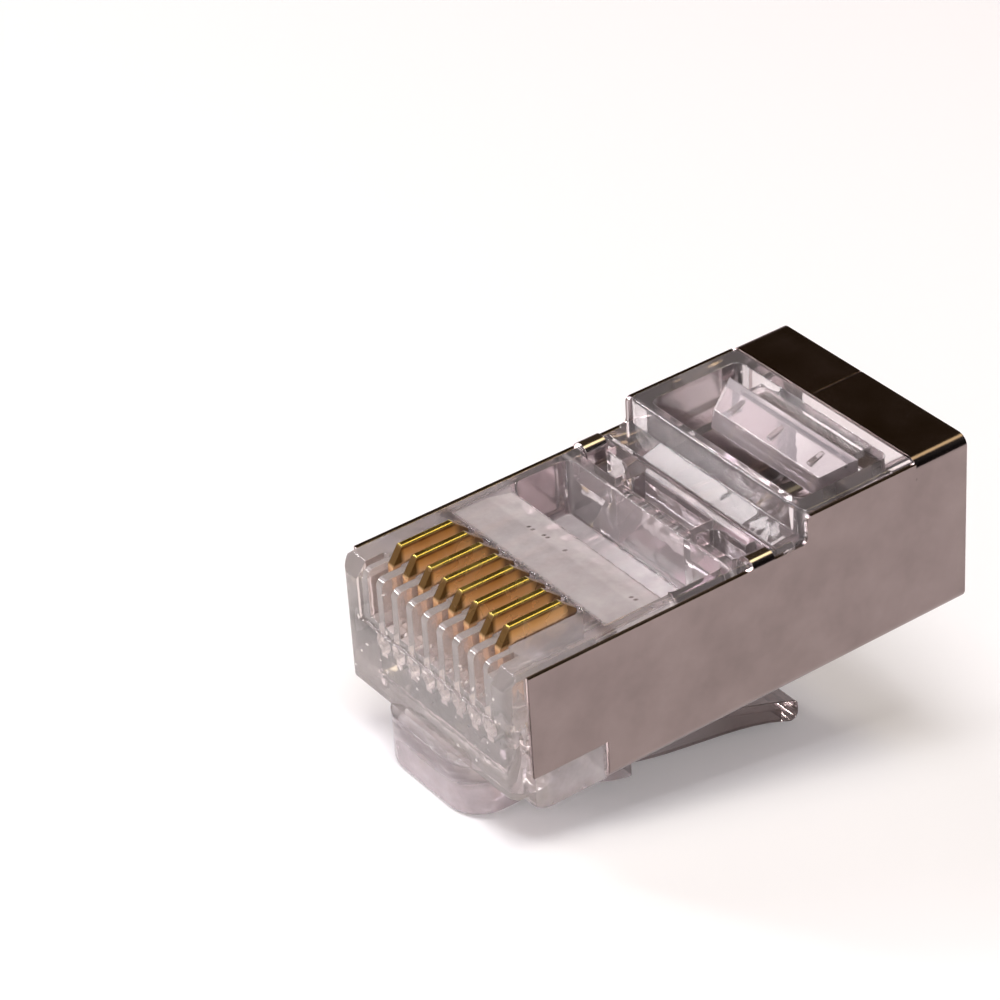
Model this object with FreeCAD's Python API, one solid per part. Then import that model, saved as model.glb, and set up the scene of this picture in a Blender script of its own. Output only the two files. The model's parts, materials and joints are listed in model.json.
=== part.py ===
"""Shielded modular plug with eight contacts, as it is before a cable is crimped into it.

The plug is drawn in its own body frame first: X runs from the front face to the cable end,
Y runs across, +Z points to the contact side, and Z = 0 is the outer plane of the latch side.
It is then turned to the attitude in which it lies on a table, on the front edge of its
latch root and the free end of its latch lever, with the contacts up.
"""
import FreeCAD, Part
import math
import os

V = FreeCAD.Vector
ALONG = V(1, 0, 0)
ACROSS = V(0, 1, 0)
UPRIGHT = V(0, 0, 1)

# ---- driving dimensions, mm -------------------------------------------------------------
# envelope
plug_width = 11.62          # across the shield
plug_length = 22.85         # front face to cable end
front_height = 6.77         # latch side to contact side of the moulding, front part
rear_height = 8.05          # latch side to the top of the shield's rear band
step_x = 14.51              # where the plug steps up to its rear height
overcut = 0.10              # how far a cutting shape stands past the face that it opens

# contacts
contact_count = 8
contact_pitch = 1.016
contact_thickness = 0.34
contact_side_gap = 0.03     # running gap each side of a contact in its slot
contact_proud = 0.82        # height of an uncrimped contact above the contact side
contact_crown_front = 1.57  # flat crown of a contact, front end
contact_crown_rear = 4.00
contact_crown_round = 0.10
contact_toe_x = 1.04        # where the front slope of a contact meets the surface
contact_toe_depth = 1.15    # the front post below the toe
contact_heel_x = 4.74       # rear nose of a contact
contact_heel_drop = 0.72    # crown to the rear nose
contact_waist = 0.35        # the lower body is shorter than the top by this much at each end
contact_body_height = 2.64  # crown to the root of the prongs
prong_count = 3
prong_length = 0.85
prong_gap = 0.04
crimp_travel = 1.45         # how far the crimping tool presses a contact in
crimp_gap = 0.05            # left under a pressed contact
slot_end_gap = 0.10         # between a contact and the ends of its slot

# conductor holes
bore_radius = 0.46
bore_height = 3.30          # axis above the latch side
bore_front_x = 1.28

# shield
sheet = 0.20
sheet_gap = 0.02            # between the shield and the moulding
bend_radius = 0.30          # inside radius of the folded edges
wall_drop = 0.14            # top of the side walls below the moulding, front part
rear_wall_drop = 0.20       # between the step and the rear band, below the band
wall_step_share = 0.205     # rounds of the walls' step, as a share of its height
shield_front_x = 0.83
side_notch_x = 4.40         # the notch beside the latch root
side_notch_height = 1.88
band_x = 20.15              # front edge of the folded rear band
band_seam_y = 0.67
band_seam_gap = 0.06
tab_ahead = 2.73            # front edge of a tab ahead of the step
tab_width = 1.08
tab_reach = 0.93            # from the side wall's outside to the inside of the tab's leg
tab_rise = 0.16             # top of a tab above the moulding
tab_drop = 0.86             # top of a tab to the end of its leg
tab_leg_corner = 0.22
tab_bend = 0.20             # inside radius of a tab's two bends

# moulding, front
nose_ledge_height = 1.00    # ledge beside the latch root
nose_ledge = 0.63
nose_radius = 1.30
nose_corner = 0.45
edge_bevel = 0.18           # along the upper edges of the front part
comb_length = 4.98          # slots, from the front face
comb_front_height = 4.60    # floor of the slots at the front face
comb_margin = 0.09          # outermost rib, past half a pitch
field_margin = 0.346        # the recess in which the ribs' front ends stand is wider than the comb
field_low = 4.20
field_depth = 0.12
pocket_length = 1.38        # lowered pocket between a cheek and the outermost rib
pocket_depth = 0.45
rib_round = 0.35            # front ends of the ribs
cheek_bevel_length = 0.50
cheek_bevel_height = 0.67

# moulding, conductor window, trough and wells
recess_x = 5.05             # shallow recess behind the contacts
recess_depth = 0.13
recess_half = 5.05
strip_x = 6.75              # sloping strip at the end of the recess
strip_depth = 0.42
window_x = 8.13
window_length = 2.82
window_floor = 4.05
window_corner = 0.40
trough_x = 11.47
trough_length = 1.23
trough_half = 2.20
trough_floor = 3.90
trough_taper = 0.15
well_inner = 2.62           # end of a tab's well nearest the middle
well_length = 1.00          # along the plug
well_gap = 0.12             # round the tab's leg
well_depth = 1.10
well_radius = 0.80
groove_wall = 0.12          # between a tab's well and the groove at the foot of the step
groove_width = 0.14
groove_depth = 0.30

# moulding, rear
riser_corner = 0.40
rim_round = 0.16
rim_drop = 0.08             # the moulding's rear top is below the band by this much
rear_inset = 0.15           # moulding ends this far inside the shield
riser_thickness = 0.44      # wall between the step and the jacket clamp window
cable_window_length = 4.68
cable_window_half = 4.75
cable_window_drop = 0.90    # the window's opening reaches this far below the entry's roof
cavity_width = 8.60         # cable entry
cavity_floor = 0.95
cavity_height = 5.50
cavity_radius = 0.80
mouth_flare = 0.40
mouth_length = 0.50
funnel_x = 11.68            # where the conductor holes open into the cable entry
funnel_length = 3.60
funnel_rise = 0.55          # half height of the funnel's narrow end
funnel_drop = 1.30          # the funnel's wide end is lower than the entry's roof
clamp_set_back = 2.23       # front edge of the jacket clamp's face, behind the window's front
clamp_lip_drop = 0.67       # below the moulding's rear top
clamp_length = 1.45
clamp_rise = 0.62
clamp_front_half = 3.25
clamp_rear_half = 4.05
clamp_thickness = 0.75
clamp_lean = 0.23           # the clamp's front face leans forward going down
clamp_web = 0.35            # thin web that holds the clamp at its rear
clamp_rib_pitch = 2.50
clamp_rib_width = 0.26
clamp_rib_length = 0.75
clamp_rib_height = 0.14

# latch
root_height = 1.50          # latch root, above the latch side
root_front = 0.47           # how far the root stands ahead of the front face
root_half_width = 3.20
root_corner = 1.60
root_edge = 0.35
root_pocket_x = 1.13        # two shallow pockets under the root
root_pocket_length = 0.90
root_pocket_inner = 0.45
root_pocket_outer = 2.05
hinge_x = 2.78
hinge_height = 1.12
knuckle_radius = 0.36
knuckle_gap = 0.05
lever_half_width = 3.05     # wide part with the catch shoulders
shoulder_x = 7.46
shoulder_outer = 3.00       # outer and inner face of the wide part at the shoulders
shoulder_inner = 1.98
grip_half_width = 1.62      # narrow part
grip_root_x = 6.13          # where the narrow part grows out of the wide one
grip_end_x = 17.33
grip_end_height = 6.05      # outer face at the free end
grip_thickness = 1.15
grip_rim = 0.40
grip_floor = 0.50
grip_tip_length = 0.75      # solid free end

# ---- derived sizes ----------------------------------------------------------------------
half_width = plug_width / 2
inner_half = half_width - sheet - sheet_gap
fold_outside = bend_radius + sheet
rear_top = rear_height - rim_drop
wall_height = front_height - wall_drop
rear_wall_height = rear_height - rear_wall_drop
tab_height = front_height + tab_rise
clamp_lip_height = rear_top - clamp_lip_drop
wall_step_round = wall_step_share * (rear_wall_height - wall_height)
tab_x = step_x - tab_ahead
groove_x = tab_x + tab_width + well_gap + groove_wall
cable_window_x = step_x + riser_thickness
clamp_lip_x = cable_window_x + clamp_set_back
under_band = rear_height - sheet - sheet_gap
rear_x = plug_length - rear_inset
slot_width = contact_thickness + 2 * contact_side_gap
contact_top = front_height + contact_proud
contact_root = contact_top - contact_body_height
prong_tip = contact_root - prong_length
contact_y = [(contact_count - 1) / 2 * contact_pitch - i * contact_pitch for i in range(contact_count)]
comb_half = contact_count / 2 * contact_pitch + comb_margin
field_half = comb_half + field_margin
cavity_roof = cavity_floor + cavity_height
tab_leg_y = half_width - tab_reach


# ---- helpers ----------------------------------------------------------------------------
def box(x0, x1, y0, y1, z0, z1):
    """Block between two corners."""
    return Part.makeBox(x1 - x0, y1 - y0, z1 - z0, V(x0, y0, z0))


def side_plate(points, y0, y1):
    """Prism across the plug from a side-view outline of (x, z) points."""
    corners = [V(x, y0, z) for x, z in points]
    face = Part.Face(Part.makePolygon(corners + corners[:1]))
    return face.extrude(V(0, y1 - y0, 0))


def fillet_where(shape, radius, chosen):
    """Round the edges that the test picks out."""
    edges = [e for e in shape.Edges if chosen(e)]
    return shape.makeFillet(radius, edges) if edges else shape


def is_line(edge, axis):
    """True for a straight edge along the axis."""
    if not isinstance(edge.Curve, Part.Line):
        return False
    return abs(edge.Curve.Direction.dot(axis)) > 0.999


def near(a, b):
    """True for two lengths that are the same within the modelling tolerance."""
    return abs(a - b) < 0.01


def mirrored(shape):
    """Copy on the other side of the plug's middle plane."""
    return shape.mirror(V(0, 0, 0), ACROSS)


def both_sides(shapes):
    """The shapes and their copies on the other side."""
    return shapes + [mirrored(s) for s in shapes]


# ---- moulding ---------------------------------------------------------------------------
def body_blank():
    """Solid outside of the moulding: stepped top, rounded nose, rounded corners."""
    ledge_end = nose_ledge + nose_radius
    lower = sheet + sheet_gap
    drop = nose_ledge_height * math.sin(math.pi / 4)
    arc_mid = V(ledge_end - nose_radius * math.cos(math.pi / 4), 0, nose_ledge_height - drop)
    band_front = band_x - sheet_gap
    p = [V(0, 0, nose_ledge_height), V(nose_ledge, 0, nose_ledge_height), V(ledge_end, 0, 0),
         V(side_notch_x, 0, 0), V(side_notch_x, 0, lower), V(rear_x, 0, lower),
         V(rear_x, 0, under_band), V(band_front, 0, under_band), V(band_front, 0, rear_top),
         V(step_x, 0, rear_top), V(step_x, 0, front_height), V(0, 0, front_height)]
    edges = [Part.LineSegment(p[0], p[1]).toShape(), Part.Arc(p[1], arc_mid, p[2]).toShape()]
    for a, b in zip(p[2:], p[3:] + p[:1]):
        edges.append(Part.LineSegment(a, b).toShape())
    outline = Part.Face(Part.Wire(edges))
    outline.translate(V(0, -inner_half, 0))
    blank = outline.extrude(V(0, 2 * inner_half, 0))
    blank = fillet_where(blank, bend_radius, lambda e: is_line(e, ALONG) and e.CenterOfMass.x > side_notch_x
                         and (near(e.CenterOfMass.z, lower) or near(e.CenterOfMass.z, under_band)))
    blank = fillet_where(blank, nose_corner, lambda e: is_line(e, UPRIGHT) and near(e.CenterOfMass.x, 0))
    blank = fillet_where(blank, riser_corner, lambda e: is_line(e, UPRIGHT) and near(e.CenterOfMass.x, step_x)
                         and near(abs(e.CenterOfMass.y), inner_half))
    return fillet_where(blank, rim_round, lambda e: near(e.CenterOfMass.z, rear_top)
                        and e.CenterOfMass.x < band_front - overcut)


def latch_root():
    """D-shaped block that carries the lever, standing ahead of the front face."""
    x0 = -root_front
    x1 = hinge_x
    y1 = root_half_width
    block = box(x0, x1, -y1, y1, -root_height, nose_ledge_height)
    block = fillet_where(block, root_corner, lambda e: is_line(e, UPRIGHT) and near(e.CenterOfMass.x, x0))
    block = fillet_where(block, root_edge, lambda e: near(e.CenterOfMass.z, -root_height)
                         and e.BoundBox.XMin < x1 - overcut)
    seat = Part.makeCylinder(knuckle_radius + knuckle_gap, 2 * y1 + 2 * overcut,
                             V(hinge_x, -y1 - overcut, -hinge_height), ACROSS)
    pocket_end = root_pocket_x + root_pocket_length
    pocket = side_plate([(root_pocket_x, -root_height - overcut), (pocket_end, -root_height - overcut),
                         (pocket_end, -0.63 * root_height), (root_pocket_x + overcut, -0.87 * root_height)],
                        root_pocket_inner, root_pocket_outer)
    return block.cut(Part.makeCompound(both_sides([pocket]) + [seat]))


def contact_slot(y):
    """Room of one contact: open at the front and top, down through its conductor hole."""
    low = contact_root - crimp_travel - crimp_gap
    tip = prong_tip - crimp_travel - crimp_gap
    front = contact_toe_x - slot_end_gap
    front_low = front + contact_waist
    rear_low = contact_crown_rear + contact_waist + slot_end_gap
    outline = [(-overcut, contact_top), (-overcut, comb_front_height), (front, comb_front_height),
               (front, low), (front_low, low), (front_low, tip), (rear_low, tip), (rear_low, low),
               (comb_length, low), (comb_length, contact_top)]
    return side_plate(outline, y - slot_width / 2, y + slot_width / 2)


def comb_cuts():
    """Eight slots with their conductor holes, and the recess with the ribs' rounded front ends."""
    top = front_height + overcut
    cuts = [contact_slot(y) for y in contact_y]
    length = funnel_x + slot_end_gap - bore_front_x
    for y in contact_y:
        cuts.append(Part.makeCylinder(bore_radius, length, V(bore_front_x, y, bore_height), ALONG))
    cuts.append(box(-overcut, field_depth, -field_half, field_half, field_low, top))
    round_x = field_depth + rib_round
    round_z = front_height - rib_round
    corner = box(-overcut, round_x, -comb_half, comb_half, round_z, top)
    rib_ends = Part.makeCylinder(rib_round, 2 * comb_half, V(round_x, -comb_half, round_z), ACROSS)
    cuts.append(corner.cut(rib_ends))
    return cuts


def cheek_cuts():
    """Pocket, front bevel and long bevel on both sides of the comb."""
    top = front_height + overcut
    pocket = box(-overcut, pocket_length, comb_half, field_half, front_height - pocket_depth, top)
    bevel = side_plate([(-overcut, top), (-overcut, front_height - cheek_bevel_height),
                        (0, front_height - cheek_bevel_height), (cheek_bevel_length, front_height),
                        (cheek_bevel_length, top)], field_half, half_width)
    low = front_height - edge_bevel
    inner = inner_half - edge_bevel
    section = [V(-overcut, y, z) for y, z in ((inner, front_height), (inner_half, low), (half_width, low),
                                              (half_width, top), (inner, top))]
    long_bevel = Part.Face(Part.makePolygon(section + section[:1])).extrude(V(step_x - riser_corner, 0, 0))
    return both_sides([pocket, bevel, long_bevel])


def window_cuts():
    """Recess and sloping strip behind the contacts, the deep window, the trough and the groove."""
    top = front_height + overcut
    low = front_height - recess_depth
    strip_low = front_height - strip_depth
    strip_end = window_x + overcut
    recess = side_plate([(recess_x, top), (recess_x, low), (strip_x, low), (window_x, strip_low),
                         (strip_end, strip_low), (strip_end, top)], -recess_half, recess_half)
    window = box(window_x, window_x + window_length, -recess_half, recess_half, window_floor, top)
    window = fillet_where(window, window_corner, lambda e: is_line(e, UPRIGHT))
    t0 = trough_x
    t1 = trough_x + trough_length
    trough = side_plate([(t0, top), (t0 + trough_taper, trough_floor), (t1 - trough_taper, trough_floor),
                         (t1, top)], -trough_half, trough_half)
    groove = box(groove_x, groove_x + groove_width, -inner_half + edge_bevel, inner_half - edge_bevel,
                 front_height - groove_depth, top)
    return [recess, window, trough, groove]


def tab_cuts():
    """Wells that the tabs' legs reach into, and the saddles that the tabs cross."""
    top = front_height + overcut
    floor = front_height - well_depth
    x0 = tab_x - well_gap
    x1 = tab_x + tab_width + well_gap
    well_end = trough_x + well_length
    well = box(trough_x, well_end, well_inner, tab_leg_y, floor, top)
    well = fillet_where(well, well_radius, lambda e: is_line(e, UPRIGHT) and near(e.CenterOfMass.x, well_end)
                        and near(e.CenterOfMass.y, well_inner))
    leg_room = box(x0, x1, tab_leg_y - tab_bend - sheet, tab_leg_y + sheet + well_gap, floor, top)
    saddle = box(x0, x1, tab_leg_y, half_width, tab_height - sheet - sheet_gap, top)
    return both_sides([well.fuse(leg_room), saddle])


def entry_cuts():
    """Cable entry, the funnel to the conductor holes and the jacket clamp window."""
    x1 = funnel_x + funnel_length
    half = cavity_width / 2
    entry = box(x1 - 0.01, rear_x + overcut, -half, half, cavity_floor, cavity_roof)
    entry = fillet_where(entry, cavity_radius, lambda e: is_line(e, ALONG))
    mouth_x = rear_x - mouth_length
    mouth = side_plate([(mouth_x, cavity_roof - 0.01), (rear_x + overcut, cavity_roof + mouth_flare),
                        (rear_x + overcut, cavity_floor - mouth_flare), (mouth_x, cavity_floor + 0.01)],
                       cavity_radius - half, half - cavity_radius)
    row = comb_half - contact_pitch / 8
    narrow = rectangle(funnel_x, row, bore_height - funnel_rise, bore_height + funnel_rise)
    wide = rectangle(x1, half, cavity_floor + cavity_radius, cavity_roof - funnel_drop)
    funnel = Part.makeLoft([narrow, wide], True, True)
    window = box(cable_window_x, cable_window_x + cable_window_length, -cable_window_half, cable_window_half,
                 cavity_roof - cable_window_drop, rear_height + overcut)
    window = fillet_where(window, window_corner, lambda e: is_line(e, UPRIGHT))
    return [entry, mouth, funnel, window]


def rectangle(x, half, z0, z1):
    """Upright rectangle across the plug."""
    corners = [V(x, -half, z0), V(x, half, z0), V(x, half, z1), V(x, -half, z1)]
    return Part.makePolygon(corners + corners[:1])


def clamp_bar():
    """Slanted jacket clamp with three small ribs, held by a thin web at its rear."""
    x0 = clamp_lip_x
    x1 = x0 + clamp_length
    low = clamp_lip_height
    high = low + clamp_rise
    outline = [(x0, low), (x1, high), (x1, high - clamp_thickness), (x0 - clamp_lean, low - clamp_thickness)]
    bar = side_plate(outline, -clamp_rear_half, clamp_rear_half)
    plan = [V(x0 - clamp_lean, -clamp_front_half, 0), V(x1, -clamp_rear_half, 0), V(x1, clamp_rear_half, 0),
            V(x0 - clamp_lean, clamp_front_half, 0)]
    bar = bar.common(Part.Face(Part.makePolygon(plan + plan[:1])).extrude(V(0, 0, rear_height)))
    web_end = cable_window_x + cable_window_length + overcut
    web_top = high - clamp_thickness / 2
    web = box(x1 - clamp_web, web_end, -clamp_front_half, clamp_front_half, web_top - clamp_web, web_top)
    slope = clamp_rise / clamp_length
    r0 = x0 + clamp_web / 2
    r1 = r0 + clamp_rib_length
    face_0 = low + slope * (r0 - x0)
    face_1 = low + slope * (r1 - x0)
    rib = [(r0, face_0 - overcut), (r0, face_0 + clamp_rib_height), (r1, face_1 + overcut / 10),
           (r1, face_1 - overcut)]
    ribs = [side_plate(rib, y - clamp_rib_width / 2, y + clamp_rib_width / 2)
            for y in (-clamp_rib_pitch, 0, clamp_rib_pitch)]
    return bar.fuse([web] + ribs)


def make_housing():
    """The one clear moulding: body, latch root, comb, windows, cable entry and clamp bar."""
    body = body_blank().fuse(latch_root())
    body = body.cut(Part.makeCompound(comb_cuts()))
    for tool in cheek_cuts() + window_cuts() + tab_cuts() + entry_cuts():
        body = body.cut(tool)
    return body.fuse(clamp_bar()).removeSplitter()


# ---- contacts ---------------------------------------------------------------------------
def make_contact(y):
    """Stamped blade with a flat crown, sloped ends and three piercing prongs."""
    top = contact_top
    root = contact_root
    front = contact_toe_x + contact_waist
    rear = contact_crown_rear + contact_waist
    post = front_height - contact_toe_depth
    nose = top - contact_heel_drop
    prong_pitch = (rear - front) / prong_count
    outline = [(contact_toe_x, front_height), (contact_crown_front, top), (contact_crown_rear, top),
               (contact_heel_x - prong_gap, nose + 0.2 * contact_heel_drop), (contact_heel_x, nose),
               (contact_heel_x - slot_end_gap, nose - 0.2 * contact_heel_drop),
               (rear, nose - contact_waist), (rear, root)]
    for i in range(prong_count):
        x = rear - i * prong_pitch
        outline += [(x - prong_gap / 2, root), (x - prong_pitch / 2, prong_tip),
                    (x - prong_pitch + prong_gap / 2, root)]
    outline += [(front, root), (front, post), (contact_toe_x, post)]
    blade = side_plate(outline, y - contact_thickness / 2, y + contact_thickness / 2)
    return fillet_where(blade, contact_crown_round, lambda e: is_line(e, ALONG)
                        and near(e.CenterOfMass.z, top))


# ---- shield -----------------------------------------------------------------------------
def folded_section(height, x0, x1, closed):
    """Length of shield with walls up to a height, open on top or folded over it."""
    top = height - sheet if closed else height + overcut
    side = half_width - sheet
    outer = box(x0, x1, -half_width, half_width, 0, height)
    inner = box(x0 - overcut, x1 + overcut, -side, side, sheet, top)
    outer = fillet_where(outer, fold_outside, lambda e: is_line(e, ALONG)
                         and (closed or near(e.CenterOfMass.z, 0)))
    inner = fillet_where(inner, bend_radius, lambda e: is_line(e, ALONG)
                         and (closed or near(e.CenterOfMass.z, sheet)))
    return outer.cut(inner)


def shield_tab():
    """Tab of one side wall, bent over the moulding's edge and down into its well."""
    y0 = tab_leg_y
    y1 = half_width
    x0 = tab_x
    x1 = tab_x + tab_width
    under = tab_height - sheet
    block = box(x0, x1, y0, y1, tab_height - tab_drop, tab_height)
    block = fillet_where(block, tab_bend + sheet, lambda e: is_line(e, ALONG)
                         and near(e.CenterOfMass.z, tab_height))
    inner = box(x0 - overcut, x1 + overcut, y0 + sheet, y1 - sheet, 0, under)
    inner = fillet_where(inner, tab_bend, lambda e: is_line(e, ALONG) and near(e.CenterOfMass.z, under))
    return fillet_where(block.cut(inner), tab_leg_corner, lambda e: is_line(e, ACROSS)
                        and near(e.CenterOfMass.z, tab_height - tab_drop) and e.CenterOfMass.y < y0 + sheet)


def make_shield():
    """One folded sheet: plate on the latch side, two stepped walls, two tabs, rear band."""
    walls = folded_section(wall_height, shield_front_x, plug_length, False)
    rear = folded_section(rear_wall_height, step_x, plug_length, False)
    band = folded_section(rear_height, band_x, plug_length, True)
    shell = walls.fuse([rear])
    fold_z = rear_height - fold_outside
    end = plug_length + overcut
    fold = box(band_x, end, half_width - fold_outside, half_width + overcut, fold_z, rear_height + overcut)
    shell = shell.cut(Part.makeCompound(both_sides([fold]))).fuse(band)
    notch = box(0, side_notch_x, -plug_width, plug_width, -overcut, side_notch_height)
    seam = box(band_x - overcut, end, band_seam_y - band_seam_gap / 2, band_seam_y + band_seam_gap / 2,
               rear_height - 2 * sheet, rear_height + overcut)
    tab = shield_tab()
    ease = box(tab_x, tab_x + tab_width, half_width - fold_outside, half_width + overcut,
               tab_height - sheet - tab_bend, tab_height + overcut)
    shell = shell.cut(Part.makeCompound(both_sides([ease]) + [notch, seam]))
    shell = shell.fuse(both_sides([tab])).removeSplitter()
    return fillet_where(shell, wall_step_round, lambda e: is_line(e, ACROSS)
                        and near(e.CenterOfMass.x, step_x) and abs(e.CenterOfMass.y) > half_width - sheet)


# ---- latch lever ------------------------------------------------------------------------
def curve(points):
    """Smooth line through (x, depth below the latch side) points."""
    line = Part.BSplineCurve()
    line.interpolate([V(x, 0, -depth) for x, depth in points])
    return line


def between(share, depth_share, start, end):
    """Point part of the way from one (x, depth) point to another."""
    return start[0] + share * (end[0] - start[0]), start[1] + depth_share * (end[1] - start[1])


def lever_plate():
    """Wide part: from the hinge knuckle to the thick catch shoulders."""
    h = hinge_height
    r = knuckle_radius
    low = (hinge_x, h + r)
    high = (hinge_x, h - r)
    outer_end = (shoulder_x, shoulder_outer)
    inner_end = (shoulder_x, shoulder_inner)
    outer = curve([low, between(0.38, 0.28, low, outer_end), between(0.70, 0.74, low, outer_end), outer_end])
    inner = curve([inner_end, between(0.45, 0.38, high, inner_end), high])
    edges = [outer.toShape(), Part.LineSegment(outer.EndPoint, inner.StartPoint).toShape(), inner.toShape(),
             Part.Arc(inner.EndPoint, V(hinge_x - r, 0, -h), outer.StartPoint).toShape()]
    face = Part.Face(Part.Wire(edges))
    face.translate(V(0, -lever_half_width, 0))
    return face.extrude(V(0, 2 * lever_half_width, 0))


def grip_lines(lift):
    """Outer and inner side-view lines of the narrow part; lift lowers the inner line into it."""
    root = (grip_root_x, 0.87 * shoulder_outer)
    end = (grip_end_x, grip_end_height)
    inner_root = (grip_root_x + grip_tip_length, 0.93 * shoulder_inner + lift)
    inner_end = (grip_end_x, grip_end_height - grip_thickness + lift)
    outer = curve([root, between(0.12, 0.22, root, end), between(0.50, 0.54, root, end), end])
    inner = curve([inner_end, between(0.50, 0.42, inner_root, inner_end), inner_root])
    return outer, inner


def lever_grip():
    """Narrow part with a solid, rounded free end, and the recess between its raised rims."""
    outer, inner = grip_lines(0)
    end = grip_end_x
    edges = [outer.toShape(), Part.LineSegment(outer.EndPoint, inner.StartPoint).toShape(), inner.toShape(),
             Part.LineSegment(inner.EndPoint, outer.StartPoint).toShape()]
    face = Part.Face(Part.Wire(edges))
    face.translate(V(0, -grip_half_width, 0))
    grip = face.extrude(V(0, 2 * grip_half_width, 0))
    grip = fillet_where(grip, root_edge, lambda e: is_line(e, ACROSS) and near(e.CenterOfMass.x, end))
    floor = grip_lines(grip_floor)[1]
    below = -grip_end_height - grip_thickness
    start = V(floor.EndPoint.x, 0, below)
    edges = [floor.toShape(), Part.LineSegment(floor.EndPoint, start).toShape(),
             Part.LineSegment(start, V(end, 0, below)).toShape(),
             Part.LineSegment(V(end, 0, below), floor.StartPoint).toShape()]
    recess = Part.Face(Part.Wire(edges))
    recess.translate(V(0, grip_rim - grip_half_width, 0))
    recess = recess.extrude(V(0, 2 * (grip_half_width - grip_rim), 0))
    keep = box(grip_root_x, end - grip_tip_length, -grip_half_width, grip_half_width, below, 0)
    return grip, recess.common(keep)


def make_lever():
    """Latch lever with its hinge knuckle, catch shoulders and grip."""
    grip, recess = lever_grip()
    return lever_plate().fuse(grip).cut(recess).removeSplitter()


# ---- the plug as it lies ----------------------------------------------------------------
def rest_pitch():
    """Angle of the plug on a table: the line under the root's front edge and the grip's end."""
    dx = (grip_end_x - root_edge) - (-root_front + root_edge)
    dz = (grip_end_height - root_edge) - (root_height - root_edge)
    return math.degrees(math.atan2(dz, dx))


def build():
    """All pieces in the plug's own frame."""
    pieces = {"housing": make_housing(), "shield": make_shield(), "latch_lever": make_lever()}
    for number, y in enumerate(contact_y, 1):
        pieces["contact_%d" % number] = make_contact(y)
    return pieces


def lay_down(pieces):
    """Turn the plug to its resting attitude, centred over the origin, lowest point at Z = 0."""
    for shape in pieces.values():
        shape.rotate(V(0, 0, 0), ACROSS, -rest_pitch())
    bound = Part.makeCompound(list(pieces.values())).BoundBox
    shift = V(-(bound.XMin + bound.XMax) / 2, 0, -bound.ZMin)
    for shape in pieces.values():
        shape.translate(shift)
    return shift


def main():
    os.makedirs("parts", exist_ok=True)
    pieces = build()
    shift = lay_down(pieces)
    for name, shape in pieces.items():
        print(name, shape.isValid(), len(shape.Solids), round(shape.Volume, 3), len(shape.Faces))
        shape.exportStep("parts/%s.step" % name)
    print("pitch", round(rest_pitch(), 3), "shift", shift)


main()
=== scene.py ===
"""Looks of the shielded modular plug: rib ends, materials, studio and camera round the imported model."""
import json
import math

import bmesh
import bpy
from mathutils import Matrix, Vector

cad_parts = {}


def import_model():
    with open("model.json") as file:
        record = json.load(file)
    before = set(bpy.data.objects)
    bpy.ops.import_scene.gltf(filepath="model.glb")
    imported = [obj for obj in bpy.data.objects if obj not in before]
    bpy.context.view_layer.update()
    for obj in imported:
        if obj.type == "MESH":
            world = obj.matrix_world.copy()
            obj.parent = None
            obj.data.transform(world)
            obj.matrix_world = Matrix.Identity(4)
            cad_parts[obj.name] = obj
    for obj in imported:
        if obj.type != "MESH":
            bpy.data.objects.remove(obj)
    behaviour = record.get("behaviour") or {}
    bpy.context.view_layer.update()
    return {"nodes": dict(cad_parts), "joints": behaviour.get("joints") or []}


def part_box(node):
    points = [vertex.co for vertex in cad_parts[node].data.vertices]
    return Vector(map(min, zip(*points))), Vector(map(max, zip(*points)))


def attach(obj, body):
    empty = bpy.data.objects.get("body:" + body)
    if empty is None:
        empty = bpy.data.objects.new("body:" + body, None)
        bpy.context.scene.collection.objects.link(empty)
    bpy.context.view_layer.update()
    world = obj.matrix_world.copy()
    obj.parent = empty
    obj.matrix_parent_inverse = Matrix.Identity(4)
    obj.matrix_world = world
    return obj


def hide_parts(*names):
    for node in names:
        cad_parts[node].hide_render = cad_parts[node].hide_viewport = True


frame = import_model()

nodes = frame["nodes"]
joints = {joint["name"]: joint for joint in frame["joints"]}
contacts = [name for name in sorted(nodes) if name.startswith("contact_")]
scene = bpy.context.scene
MM = 0.001

# The plug's own frame (X along it, Y across, Z to the contact side), as it lies in the row frame.
# All places on the plug below are given in it, in millimetres.
PLUG_UP = Vector(joints["crimp_1"]["axis"])
PITCH = math.asin(-PLUG_UP.x)
HINGE_IN_PLUG = Vector((2.78, 0, -1.12))
TURN = Matrix.Rotation(-PITCH, 3, "Y")
PLUG_ORIGIN = Vector(joints["latch_press"]["pos_m"]) / MM - TURN @ HINGE_IN_PLUG


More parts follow.
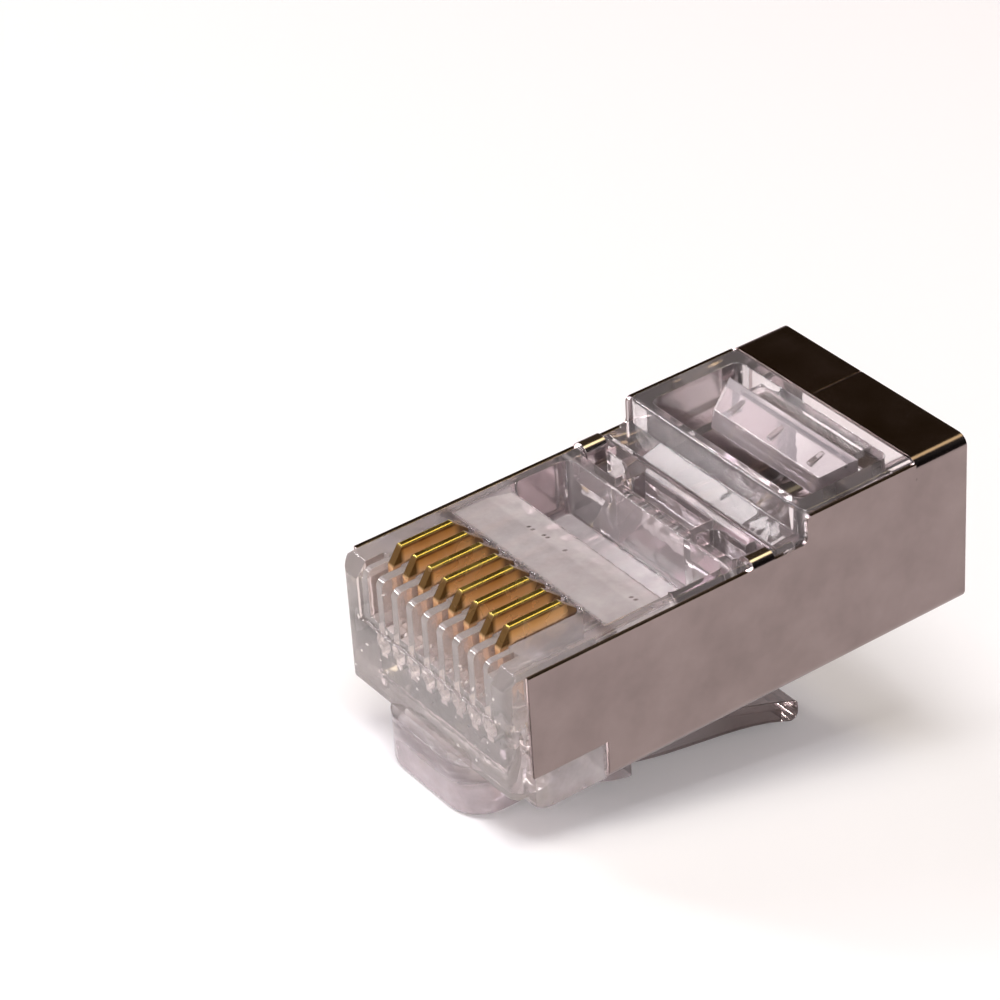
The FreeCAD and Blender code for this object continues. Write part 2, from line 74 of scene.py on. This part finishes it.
# ---- node helpers ------------------------------------------------------------------------
class Graph:
    """Short way to write a shader's nodes."""

    def __init__(self, tree):
        self.tree = tree
        tree.nodes.clear()

    def add(self, kind, **values):
        node = self.tree.nodes.new("ShaderNode" + kind)
        for key, value in values.items():
            setattr(node, key, value)
        return node

    def link(self, source, target, output=0, socket=0):
        self.tree.links.new(source.outputs[output], target.inputs[socket])
        return target

    def ramp(self, source, stops):
        node = self.add("ValToRGB")
        points = node.color_ramp.elements
        while len(points) < len(stops):
            points.new(0.5)
        for point, (place, colour) in zip(points, stops):
            point.position = place
            point.color = (*colour, 1)
        return self.link(source, node, 0, "Fac")

    def noise(self, vector, scale, detail=3.0, roughness=0.5):
        node = self.add("TexNoise")
        node.inputs["Scale"].default_value = scale
        node.inputs["Detail"].default_value = detail
        node.inputs["Roughness"].default_value = roughness
        return self.link(vector, node, 0, "Vector")

    def stretch(self, source, scale, output=0):
        node = self.add("Mapping")
        node.inputs["Scale"].default_value = scale
        return self.link(source, node, output, "Vector")

    def span(self, source, start, end, low, high, output=0):
        """Value from low to high while the source goes from start to end."""
        node = self.add("MapRange")
        limits = {"From Min": start, "From Max": end, "To Min": low, "To Max": high}
        for socket, value in limits.items():
            node.inputs[socket].default_value = value
        return self.link(source, node, output, "Value")

    def math(self, operation, first, second, output=0, second_output=0):
        """A calculation with two values; the second is a node or a plain number."""
        node = self.link(first, self.add("Math", operation=operation), output)
        if isinstance(second, (int, float)):
            node.inputs[1].default_value = second
            return node
        return self.link(second, node, second_output, 1)

    def mix(self, factor, first, second):
        """Colour between two; each is a node or a plain colour."""
        node = self.link(factor, self.add("Mix", data_type="RGBA"), 0, "Factor")
        for socket, value in ((6, first), (7, second)):
            if isinstance(value, tuple):
                node.inputs[socket].default_value = (*value, 1)
            else:
                self.link(value, node, colour_output(value), socket)
        return node

    def paint(self, colour, shader):
        self.link(colour, shader, colour_output(colour), "Base Color")

    def bump(self, height, distance, strength, under):
        """Normals with a relief of so many millimetres on top of other normals."""
        node = self.link(height, self.add("Bump"), 0, "Height")
        node.inputs["Distance"].default_value = distance * MM
        node.inputs["Strength"].default_value = strength
        return self.link(under, node, 0, "Normal")

    def soft_edge(self, radius):
        """Normals of an edge that is slightly rounded."""
        node = self.add("Bevel", samples=6)
        node.inputs["Radius"].default_value = radius * MM
        return node


def colour_output(node):
    """Number of the output on which a node gives its colour."""
    return 2 if node.bl_idname == "ShaderNodeMix" else 0


def material(name):
    mat = bpy.data.materials.new(name)
    mat.use_nodes = True
    graph = Graph(mat.node_tree)
    shader = graph.add("BsdfPrincipled")
    graph.link(shader, graph.add("OutputMaterial"), 0, "Surface")
    return mat, graph, shader


def object_space(g):
    """Object coordinates in millimetres."""
    return g.stretch(g.add("TexCoord"), (1 / MM, 1 / MM, 1 / MM), "Object")


def plug_space(g):
    """Coordinates in the plug's own frame, and the node that gives them one by one."""
    node = g.stretch(g.add("TexCoord"), (1 / MM, 1 / MM, 1 / MM), "Object")
    node.inputs["Rotation"].default_value = (0, PITCH, 0)
    node.inputs["Location"].default_value = -(TURN.transposed() @ PLUG_ORIGIN)
    return node, g.link(node, g.add("SeparateXYZ"))


def spot(g, place, centre, size, soft=0.35):
    """1 inside an ellipsoid round the centre, 0 outside, with a soft border."""
    shift = g.link(place, g.add("VectorMath", operation="SUBTRACT"))
    shift.inputs[1].default_value = centre
    scale = g.link(shift, g.add("VectorMath", operation="DIVIDE"))
    scale.inputs[1].default_value = size
    reach = g.link(scale, g.add("VectorMath", operation="LENGTH"))
    return g.span(reach, 1.0 - soft, 1.0 + soft, 1.0, 0.0, "Value")


def between_planes(g, axes, axis, low, high, soft=0.05):
    """1 where a coordinate lies between two planes."""
    rise = g.span(axes, low - soft, low + soft, 0.0, 1.0, axis)
    fall = g.span(axes, high - soft, high + soft, 1.0, 0.0, axis)
    return g.math("MULTIPLY", rise, fall)


def zone(g, axes, x0, x1, z0, z1, amount, soft):
    """An amount in a rectangle of the side view, 0 outside."""
    along = between_planes(g, axes, "X", x0, x1, soft)
    upright = between_planes(g, axes, "Z", z0, z1, soft)
    return g.math("MULTIPLY", g.math("MULTIPLY", along, upright), amount)


# ---- the clear moulding ------------------------------------------------------------------
PLASTIC_IOR = 1.57
CLEAREST = 0.93                     # how much light goes through where there is no haze
MOULDING_EDGE = 0.07                # radius of its soft edges

# haze in the side view: x from, x to, z from, z to, amount, softness of its border
ROOT_HAZE = (-1.0, 3.6, -1.6, 0.2, 0.38, 0.3)
HAZE = {
    "front face": (-0.2, 1.3, 0.2, 4.0, 0.14, 0.3),
    "beside the root": (0.9, 4.4, -0.1, 1.9, 0.26, 0.15),
    "comb": (-0.2, 4.6, 4.2, 7.3, 0.15, 0.2),
    "strip": (5.2, 8.10, 6.0, 6.72, 0.38, 0.12),
    "window floor": (8.2, 10.9, 3.9, 4.15, 0.36, 0.05),
    "window rear wall": (10.85, 11.05, 4.1, 6.8, 0.20, 0.05),
    "clamp": (16.9, 18.7, 6.3, 8.0, 0.10, 0.1),
    "lever": (3.6, 18.0, -7.0, -1.0, 0.16, 0.2),
}
# in the same terms: the warmer front, the clamp with painted shade and the rougher conductor holes
WARM_FRONT = (-0.2, 1.6, 0.3, 7.3, 0.8, 0.2)
CLAMP_SHADE = (16.2, 19.2, 5.6, 8.0, 1.0, 0.05)
BORES = (1.4, 11.6, 2.7, 3.9, 0.30, 0.05)

# noises: scale per millimetre, detail, roughness
HAZE_CLOUDS = (0.9, 4.0, 0.65)
GLINT_SPECKS = (3.4, 0.0, 0.0)
TINT_CLOUDS = (0.45, 4.0, 0.6)
FOG = (1.3, 3.0, 0.5)
FLOW = (0.7, 2.0, 0.5)
FLOW_STRETCH = (0.5, 1.0, 1.0)
RIPPLE = (2.3, 1.0, 0.5)

# what a value or a place becomes: from, to, amount before, amount after
CLOUDS_TO_HAZE = (0.3, 0.7, 0.85, 1.15)
GLINT_SPECKS_TO_HAZE = (0.79, 0.82, 0.0, 0.7)
FOG_TO_ROUGHNESS = (0.45, 0.80, 0.0, 0.05)
CLAMP_SHADE_Y = (-2.5, 1.0, 0.9, 0.0)
LEVER_Z = (-1.6, -1.0, 1.0, 0.0)
LEVER_SHADE_X = (6.0, 14.0, 0.0, 0.95)
RIPPLE_X = (3.5, 5.0, 1.0, 0.0)

# reliefs: height in millimetres, strength
FLOW_RELIEF = (0.03, 0.5)
RIPPLE_RELIEF = (0.03, 0.6)

# x from and to of the front with its white specks of haze, painted glints; the milky patch on the strip, a
# painted reflection; the dark marks before it (x, y)
GLINT_SPECKED_FRONT = (-0.2, 0.25)
REFLECTION_PATCH_CENTRE = (7.65, 0.32, 6.4)
REFLECTION_PATCH_SIZE = (0.60, 0.66, 0.5)
REFLECTION_PATCH_SOFTNESS = 0.5
REFLECTION_PATCH_HAZE = 0.42
MARKS = ((6.93, 2.36), (6.93, 2.10), (7.05, 1.52), (7.07, 1.30), (7.05, 0.14), (7.10, -4.05), (7.14, -4.28))
MARK_Z = 6.50
MARK_SIZE = (0.11, 0.07, 0.4)
MARK_DEPTH = 0.85

CLEAR = ((0.3, (0.95, 0.87, 0.885)), (0.7, (0.99, 0.93, 0.945)))
# painted shade: the root of the latch darker
CLEAR_ROOT_SHADE = (0.72, 0.63, 0.655)
ROOT_SHADE_AMOUNT = 2.2                     # amount of the root's painted shade over its haze
CLEAR_FRONT = (1.0, 0.92, 0.875)
# painted shade towards one end of the clamp
CLEAR_CLAMP_SHADE = (0.60, 0.53, 0.545)
CLEAR_MARK = (0.25, 0.19, 0.19)
# painted shade towards the lever's free end
CLEAR_LEVER_SHADE = (0.32, 0.24, 0.225)


def moulding_haze(g, place, plug, axes, root):
    """Haze that differs by place, cloudy, with a few white specks in front as painted glints and a milky
    patch on the strip as a painted reflection.
    """
    haze = root
    for part in HAZE.values():
        haze = g.math("MAXIMUM", haze, zone(g, axes, *part))
    clouds = g.noise(place, *HAZE_CLOUDS)
    haze = g.math("MULTIPLY", haze, g.span(clouds, *CLOUDS_TO_HAZE))
    front = between_planes(g, axes, "X", *GLINT_SPECKED_FRONT)
    # white specks of haze on the front face: painted glints
    specks = g.span(g.noise(place, *GLINT_SPECKS), *GLINT_SPECKS_TO_HAZE)
    haze = g.math("MAXIMUM", haze, g.math("MULTIPLY", specks, front))
    # a milky patch of haze on the strip: a painted reflection
    reflection_patch = spot(g, plug, REFLECTION_PATCH_CENTRE, REFLECTION_PATCH_SIZE, REFLECTION_PATCH_SOFTNESS)
    return g.math("MAXIMUM", haze, g.math("MULTIPLY", reflection_patch, REFLECTION_PATCH_HAZE))


def moulding_marks(g, plug):
    """Small dark marks at the front of the strip."""
    marks = None
    for x, y in MARKS:
        mark = spot(g, plug, (x, y, MARK_Z), MARK_SIZE)
        marks = g.math("MAXIMUM", marks, mark) if marks else mark
    return g.math("MULTIPLY", marks, MARK_DEPTH)


def clear_plastic():
    """Clear moulding with haze, flow marks, moulding marks and a few specks as painted glints; painted
    shade on the root, one end of the clamp and the lever's free end; a painted reflection on the strip.
    """
    mat, g, shader = material("clear_plastic")
    shader.inputs["IOR"].default_value = PLASTIC_IOR
    place = object_space(g)
    plug, axes = plug_space(g)
    root = zone(g, axes, *ROOT_HAZE)
    haze = moulding_haze(g, place, plug, axes, root)
    g.link(g.span(haze, 0.0, 1.0, CLEAREST, 0.0), shader, 0, "Transmission Weight")

    base = g.ramp(g.noise(place, *TINT_CLOUDS), CLEAR)
    # painted shade: the root darker
    base = g.mix(g.math("MULTIPLY", root, ROOT_SHADE_AMOUNT), base, CLEAR_ROOT_SHADE)
    base = g.mix(zone(g, axes, *WARM_FRONT), base, CLEAR_FRONT)
    # painted shade: the clamp is darker towards one end, and the lever darker and browner towards its free
    # end
    clamp_painted_shade = g.math("MULTIPLY", zone(g, axes, *CLAMP_SHADE), g.span(axes, *CLAMP_SHADE_Y, "Y"))
    base = g.mix(clamp_painted_shade, base, CLEAR_CLAMP_SHADE)
    base = g.mix(moulding_marks(g, plug), base, CLEAR_MARK)
    lever = g.span(axes, *LEVER_Z, "Z")
    lever_painted_shade = g.math("MULTIPLY", g.span(axes, *LEVER_SHADE_X, "X"), lever)
    g.paint(g.mix(lever_painted_shade, base, CLEAR_LEVER_SHADE), shader)

    fog = g.span(g.noise(place, *FOG), *FOG_TO_ROUGHNESS)
    g.link(g.math("MAXIMUM", fog, zone(g, axes, *BORES)), shader, 0, "Roughness")
    flow = g.noise(g.stretch(place, FLOW_STRETCH), *FLOW)
    flow = g.bump(flow, *FLOW_RELIEF, g.soft_edge(MOULDING_EDGE))
    ripple = g.math("MULTIPLY", g.noise(place, *RIPPLE), g.span(axes, *RIPPLE_X, "X"))
    g.link(g.bump(ripple, *RIPPLE_RELIEF, flow), shader, 0, "Normal")
    return mat


# ---- the plated sheet --------------------------------------------------------------------
SHEET_EDGE = 0.03                   # radius of its soft edges

# noises: scale per millimetre, detail, roughness
MOTTLE = (0.35, 5.0, 0.62)
SHEET_SPECKS = (2.6, 1.0, 0.3)
SHEET_PEEL = (7.0, 3.0, 0.6)
SHEET_RELIEF = (0.005, 0.5)         # height in millimetres, strength

# what a value or a place becomes: from, to, amount before, amount after
SPECKS_TO_COLOUR = (0.80, 0.84, 0.0, 0.6)
MOTTLE_TO_ROUGHNESS = (0.3, 0.7, 0.14, 0.22)
WITHIN_WALLS_Y = (5.68, 5.74, 1.0, 0.0)
OVER_PLATE_Z = (0.08, 0.14, 0.0, 1.0)
UNDER_BAND_Z = (7.90, 7.96, 1.0, 0.0)
SHADE_TO_CABLE_X = (8.0, 15.0, 0.0, 1.0)

NICKEL = ((0.32, (0.25, 0.197, 0.19)), (0.68, (0.31, 0.247, 0.238)))
NICKEL_SPECK = (0.14, 0.11, 0.105)
# painted light and shade on the inner faces: lit in front, shaded towards the cable
NICKEL_INSIDE_LIT = (0.90, 0.82, 0.82)
NICKEL_INSIDE_SHADED = (0.58, 0.52, 0.525)


def inside_of_sheet(g, axes):
    """1 on the faces of the sheet that are turned to the moulding, 0 on its outer faces."""
    across = g.math("ABSOLUTE", axes, 0.0, "Y")
    within = g.span(across, *WITHIN_WALLS_Y)
    over = g.span(axes, *OVER_PLATE_Z, "Z")
    under = g.span(axes, *UNDER_BAND_Z, "Z")
    return g.math("MULTIPLY", g.math("MULTIPLY", within, over), under)


def plated_sheet():
    """Nickel-plated sheet: satin, faintly mottled, with a few dark specks and a fine orange peel, and
    painted light and shade on its inner faces.
    """
    mat, g, shader = material("plated_sheet")
    shader.inputs["Metallic"].default_value = 1.0
    place = object_space(g)
    axes = plug_space(g)[1]
    mottle = g.noise(place, *MOTTLE)
    base = g.ramp(mottle, NICKEL)
    specks = g.span(g.noise(place, *SHEET_SPECKS), *SPECKS_TO_COLOUR)
    outside = g.mix(specks, base, NICKEL_SPECK)
    # painted light and shade on the inner faces seen through the moulding: bright in front, darker towards
    # the cable
    inside_painted_light = g.mix(g.span(axes, *SHADE_TO_CABLE_X, "X"), NICKEL_INSIDE_LIT, NICKEL_INSIDE_SHADED)
    g.paint(g.mix(inside_of_sheet(g, axes), outside, inside_painted_light), shader)
    g.link(g.span(mottle, *MOTTLE_TO_ROUGHNESS), shader, 0, "Roughness")
    peel = g.noise(place, *SHEET_PEEL)
    g.link(g.bump(peel, *SHEET_RELIEF, g.soft_edge(SHEET_EDGE)), shader, 0, "Normal")
    return mat


# ---- the gold-plated contacts ------------------------------------------------------------
CONTACT_EDGE = 0.07                 # radius of their soft edges

# noises: scale per millimetre, detail, roughness
WEAR = (1.1, 2.0, 0.5)
GOLD_PEEL = (6.0, 2.0, 0.5)
GOLD_RELIEF = (0.006, 0.5)          # height in millimetres, strength

# what a value or a place becomes: from, to, amount before, amount after
CROWN_TO_METALLIC = (0.0, 1.0, 0.55, 1.0)
WEAR_TO_COLOUR = (0.35, 0.75, 0.0, 0.35)
WEAR_TO_ROUGHNESS = (0.3, 0.7, 0.20, 0.32)
CROWN_Z = (7.50, 7.57, 0.0, 1.0)
SIDE_SHADING_Z = (6.85, 7.45, 0.0, 1.0)
SLOPE_X = (1.46, 1.66, 1.0, 0.0)
SLOPE_Z = (6.72, 6.86, 0.0, 1.0)
HEEL_X = (4.05, 4.35, 0.0, 0.85)
HEEL_Z = (7.40, 7.50, 1.0, 0.0)
POST_Z = (6.55, 6.80, 0.8, 0.0)
FOOT_X = (1.5, 1.8, 0.0, 0.8)
FOOT_LINE = (6.72, 6.84, 0.04)      # z from, z to, softness

# painted light and shade on the sides: pale at the foot, dark at the top
GOLD_SIDE_SHADING = ((0.0, (1.0, 0.63, 0.33)), (0.45, (1.0, 0.55, 0.19)),
             (0.85, (0.72, 0.36, 0.10)), (1.0, (0.16, 0.07, 0.02)))
GOLD_WORN = (1.0, 0.70, 0.40)
GOLD_CROWN = (1.0, 0.80, 0.22)
# painted shade on the slopes, heels, posts and foot lines
GOLD_SLOPE_SHADE = (0.13, 0.065, 0.012)
GOLD_HEEL_SHADE = (0.16, 0.09, 0.05)
GOLD_POST_SHADE = (0.60, 0.32, 0.15)
GOLD_FOOT_SHADE = (0.14, 0.07, 0.05)


def gold_plate():
    """Gold-plated stamping: deep yellow crowns and satin orange sides, with painted light and shade: sides
    pale below and dark at the top, dark slopes, heels and foot lines, darker posts.
    """
    mat, g, shader = material("gold_plate")
    place = object_space(g)
    axes = plug_space(g)[1]
    wear = g.noise(place, *WEAR)
    crown = g.span(axes, *CROWN_Z, "Z")
    g.link(g.span(crown, *CROWN_TO_METALLIC), shader, 0, "Metallic")
    # painted light and shade on the sides, by height
    side = g.ramp(g.span(axes, *SIDE_SHADING_Z, "Z"), GOLD_SIDE_SHADING)
    side = g.mix(g.span(wear, *WEAR_TO_COLOUR), side, GOLD_WORN)
    colour = g.mix(crown, side, GOLD_CROWN)
    # painted shade: the front slopes dark
    slope_painted_shade = g.math("MULTIPLY", g.span(axes, *SLOPE_X, "X"), g.span(axes, *SLOPE_Z, "Z"))
    colour = g.mix(slope_painted_shade, colour, GOLD_SLOPE_SHADE)
    # painted shade: the heels dark
    heel_painted_shade = g.math("MULTIPLY", g.span(axes, *HEEL_X, "X"), g.span(axes, *HEEL_Z, "Z"))
    colour = g.mix(heel_painted_shade, colour, GOLD_HEEL_SHADE)
    # painted shade: the posts darker below the slopes
    colour = g.mix(g.span(axes, *POST_Z, "Z"), colour, GOLD_POST_SHADE)
    # painted shade: a dark foot line low on the contacts
    foot_painted_shade = g.math("MULTIPLY", between_planes(g, axes, "Z", *FOOT_LINE), g.span(axes, *FOOT_X, "X"))
    g.paint(g.mix(foot_painted_shade, colour, GOLD_FOOT_SHADE), shader)
    g.link(g.span(wear, *WEAR_TO_ROUGHNESS), shader, 0, "Roughness")
    peel = g.noise(place, *GOLD_PEEL)
    g.link(g.bump(peel, *GOLD_RELIEF, g.soft_edge(CONTACT_EDGE)), shader, 0, "Normal")
    return mat


# ---- the comb ----------------------------------------------------------------------------
GAP_WIDTH = 0.62
GAP_FRONT = -0.1
GAP_REAR = 1.40                     # a little past the contacts' toes
GAP_FLOOR = 4.59
GAP_TOP = 7.0
WELD = 0.0001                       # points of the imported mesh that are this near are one
FACET_ANGLE = math.radians(30)      # faces that meet at less are shaded as one curve


def plug_block(mesh, low, high):
    """Add a block between two corners in the plug's own frame."""
    middle, size = (low + high) / 2, high - low
    for vert in bmesh.ops.create_cube(mesh, size=1.0)["verts"]:
        vert.co = (TURN @ (middle + vert.co * size) + PLUG_ORIGIN) * MM


def mesh_object(name, mesh):
    data = bpy.data.meshes.new(name)
    mesh.to_mesh(data)
    mesh.free()
    piece = bpy.data.objects.new(name, data)
    scene.collection.objects.link(piece)
    return piece


def comb_gaps():
    """Eight blocks, each ahead of its contact and wider than its slot."""
    gaps = bmesh.new()
    half = GAP_WIDTH / 2
    for name in contacts:
        y = sum(corner[1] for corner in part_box(name)) / 2 / MM
        plug_block(gaps, Vector((GAP_FRONT, y - half, GAP_FLOOR)), Vector((GAP_REAR, y + half, GAP_TOP)))
    return mesh_object("comb_gaps", gaps)


def moulding_with_thin_ribs():
    """The moulding with its ribs' front ends as thin as the photograph shows them."""
    cutter = comb_gaps()
    moulding = bmesh.new()
    moulding.from_mesh(nodes["housing"].data)
    bmesh.ops.remove_doubles(moulding, verts=moulding.verts, dist=WELD * MM)
    piece = mesh_object("housing_moulding", moulding)
    cut = piece.modifiers.new("gaps", "BOOLEAN")
    cut.operation = "DIFFERENCE"
    cut.solver = "EXACT"
    cut.object = cutter
    whole = bpy.data.meshes.new_from_object(piece.evaluated_get(bpy.context.evaluated_depsgraph_get()))
    piece.modifiers.clear()
    piece.data = whole
    bpy.data.objects.remove(cutter)
    normals = whole.attributes.get("custom_normal")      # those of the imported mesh, no longer right
    if normals:
        whole.attributes.remove(normals)
    whole.shade_smooth()
    whole.set_sharp_from_angle(angle=FACET_ANGLE)
    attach(piece, "plug_body")
    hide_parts("housing")
    return piece


# ---- the studio --------------------------------------------------------------------------
FLOOR = (0.88, 0.87, 0.885)
FLOOR_SIZE = 4.0
FLOOR_GLOW = 0.16                   # what the camera, gloss and glass see on top of the lit floor

# parts of the room: direction, cosines of its full part and of its border, colour
ROOM_TINT = (0.26, 0.22, 0.22)
ROOM = (
    ((-0.72, -0.62, 0.10), 0.92, 0.40, (1.25, 1.12, 1.14)),         # bright front
    ((0.32, 0.62, 0.72), 0.84, 0.70, (0.034, 0.021, 0.008)),        # dark brown, back and up
    ((0.36, -0.78, 0.50), 0.86, 0.70, (0.012, 0.010, 0.010)),       # dark side
    ((-0.30, 0.66, 0.68), 0.985, 0.955, (2.2, 2.0, 2.25)),          # in the clamp's face
    ((0.21, -0.05, 0.97), 0.988, 0.960, (2.2, 1.8, 1.0)),           # warm, on tabs and crowns
    ((0.85, 0.45, 0.10), 0.95, 0.80, (0.74, 0.65, 0.66)),           # behind the cable entry
)

# lamps: place, aim and size in metres, power in watts
LAMPS = {
    "key": ((-0.25, -0.10, 0.55), (0, 0, 0), 0.30, 2.0),
    "fill": ((-0.45, -0.45, 0.20), (0, 0, 0.004), 0.40, 0.7),
    "back": ((-0.33, 0.36, 0.24), (0, 0, 0), 0.08, 0.6),
    "glint": ((-0.16, -0.22, 0.50), (0, 0, 0), 0.015, 0.15),
}

CAMERA_PLACE = Vector((-95.884, -100.472, 74.771)) * MM
CAMERA_HEADING = math.radians(-40.863)
CAMERA_TILT = math.radians(64.923)
CAMERA_ROLL = math.radians(9.702)
CAMERA_LENS = 137.355


def floor():
    """Pale floor that looks white to the camera and in gloss and glass, and keeps the shadow."""
    bpy.ops.mesh.primitive_plane_add(size=FLOOR_SIZE, location=(0, 0, 0))
    plane = bpy.context.object
    plane.name = "floor"
    mat, g, shader = material("floor")
    shader.inputs["Base Color"].default_value = (*FLOOR, 1)
    shader.inputs["Roughness"].default_value = 0.9
    shader.inputs["Emission Color"].default_value = (1, 1, 1, 1)
    rays = g.add("LightPath")
    seen = g.math("MAXIMUM", rays, rays, "Is Camera Ray", "Is Glossy Ray")
    seen = g.math("MAXIMUM", seen, rays, 0, "Is Transmission Ray")
    g.link(g.math("MULTIPLY", seen, FLOOR_GLOW), shader, 0, "Emission Strength")
    plane.data.materials.append(mat)


def lamp(name, place, aim, size, power):
    data = bpy.data.lights.new(name, "AREA")
    data.energy = power
    data.size = size
    obj = bpy.data.objects.new(name, data)
    scene.collection.objects.link(obj)
    obj.location = place
    obj.rotation_euler = (Vector(aim) - Vector(place)).to_track_quat("-Z", "Y").to_euler()


def world():
    """A pale room with bright and dark parts."""
    room = bpy.data.worlds.new("world")
    scene.world = room
    room.use_nodes = True
    g = Graph(room.node_tree)
    background = g.add("Background")
    g.link(background, g.add("OutputWorld"), 0, "Surface")
    direction = g.add("TexCoord")
    tint = ROOM_TINT
    for aim, full, none, colour in ROOM:
        dot = g.link(direction, g.add("VectorMath", operation="DOT_PRODUCT"), "Generated")
        dot.inputs[1].default_value = Vector(aim).normalized()
        tint = g.mix(g.span(dot, none, full, 0.0, 1.0, "Value"), tint, colour)
    g.link(tint, background, colour_output(tint), "Color")


def camera():
    data = bpy.data.cameras.new("camera")
    data.lens = CAMERA_LENS
    data.sensor_width = 36.0
    data.clip_start = 0.01
    obj = bpy.data.objects.new("camera", data)
    scene.collection.objects.link(obj)
    obj.matrix_world = (Matrix.Translation(CAMERA_PLACE) @ Matrix.Rotation(CAMERA_HEADING, 4, "Z")
                        @ Matrix.Rotation(CAMERA_TILT, 4, "X") @ Matrix.Rotation(CAMERA_ROLL, 4, "Z"))
    scene.camera = obj


# ---- the scene ---------------------------------------------------------------------------
def dress(node, mat):
    node.data.materials.clear()
    node.data.materials.append(mat)


PLASTIC, SHEET, GOLD = clear_plastic(), plated_sheet(), gold_plate()
dress(moulding_with_thin_ribs(), PLASTIC)
dress(nodes["housing"], PLASTIC)      # not shown, and dressed like its stand-in
dress(nodes["latch_lever"], PLASTIC)
dress(nodes["shield"], SHEET)
for name in contacts:
    dress(nodes[name], GOLD)

floor()
world()
for name, (place, aim, size, power) in LAMPS.items():
    lamp(name, place, aim, size, power)
camera()
scene.view_settings.view_transform = "Standard"
